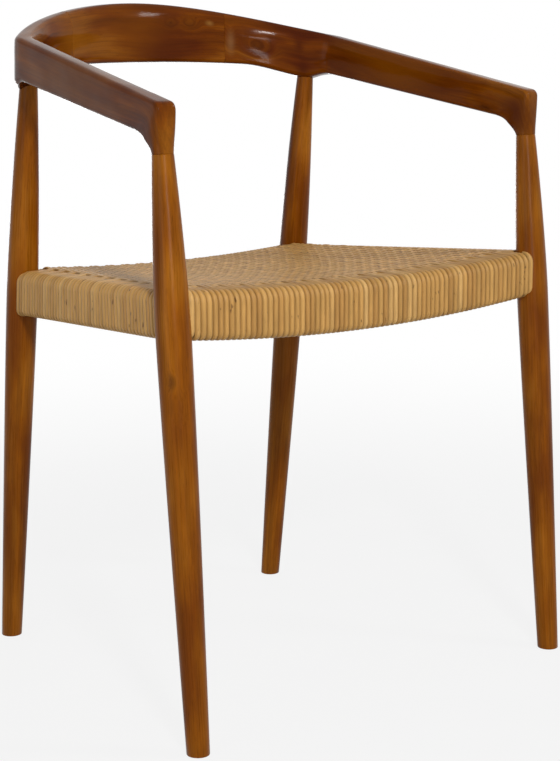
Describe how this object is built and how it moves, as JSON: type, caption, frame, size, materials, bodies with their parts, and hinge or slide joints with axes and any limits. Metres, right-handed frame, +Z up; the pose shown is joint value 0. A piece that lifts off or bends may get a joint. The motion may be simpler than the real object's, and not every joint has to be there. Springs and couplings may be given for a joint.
{
  "type": "dining armchair",
  "caption": "Open wooden dining armchair: turned tapering legs, a sculpted arm and back rail in joined pieces, and a woven rattan seat wound over wooden rails.",
  "frame": {"origin": "on the floor, under the middle of the chair's bounding box", "axes": "+Z up; the front faces -Y; +X is the right side as seen from the front"},
  "size_m": [0.5576, 0.49, 0.76],
  "materials": {
    "leg_wood": "orange-brown varnished wood, satin gloss",
    "arm_wood": "dark red-brown varnished wood, semi gloss",
    "frame_wood": "plain sawn wood under the weave",
    "dowel_wood": "plain pale wood",
    "rattan": "golden split rattan, glossy bark side out"
  },
  "bodies": {
    "root": {"front_left_leg": "leg_wood", "front_right_leg": "leg_wood", "back_left_leg": "leg_wood", "back_right_leg": "leg_wood", "left_arm": "arm_wood", "right_arm": "arm_wood", "back_crest": "arm_wood", "front_seat_rail": "frame_wood", "back_seat_rail": "frame_wood", "left_seat_rail": "frame_wood", "right_seat_rail": "frame_wood", "front_rail_wrap": "rattan", "back_rail_wrap": "rattan", "left_rail_wrap": "rattan", "right_rail_wrap": "rattan", "seat_weave": "rattan", "crest_dowel_left_lower": "dowel_wood", "crest_dowel_left_upper": "dowel_wood", "crest_dowel_right_lower": "dowel_wood", "crest_dowel_right_upper": "dowel_wood", "front_rail_dowel_front_left_lower": "dowel_wood", "front_rail_dowel_front_left_upper": "dowel_wood", "front_rail_dowel_front_right_lower": "dowel_wood", "front_rail_dowel_front_right_upper": "dowel_wood", "back_rail_dowel_back_left_lower": "dowel_wood", "back_rail_dowel_back_left_upper": "dowel_wood", "back_rail_dowel_back_right_lower": "dowel_wood", "back_rail_dowel_back_right_upper": "dowel_wood", "left_rail_dowel_back_left_lower": "dowel_wood", "left_rail_dowel_back_left_upper": "dowel_wood", "left_rail_dowel_front_left_lower": "dowel_wood", "left_rail_dowel_front_left_upper": "dowel_wood", "right_rail_dowel_back_right_lower": "dowel_wood", "right_rail_dowel_back_right_upper": "dowel_wood", "right_rail_dowel_front_right_lower": "dowel_wood", "right_rail_dowel_front_right_upper": "dowel_wood"}
  },
  "joints": []
}
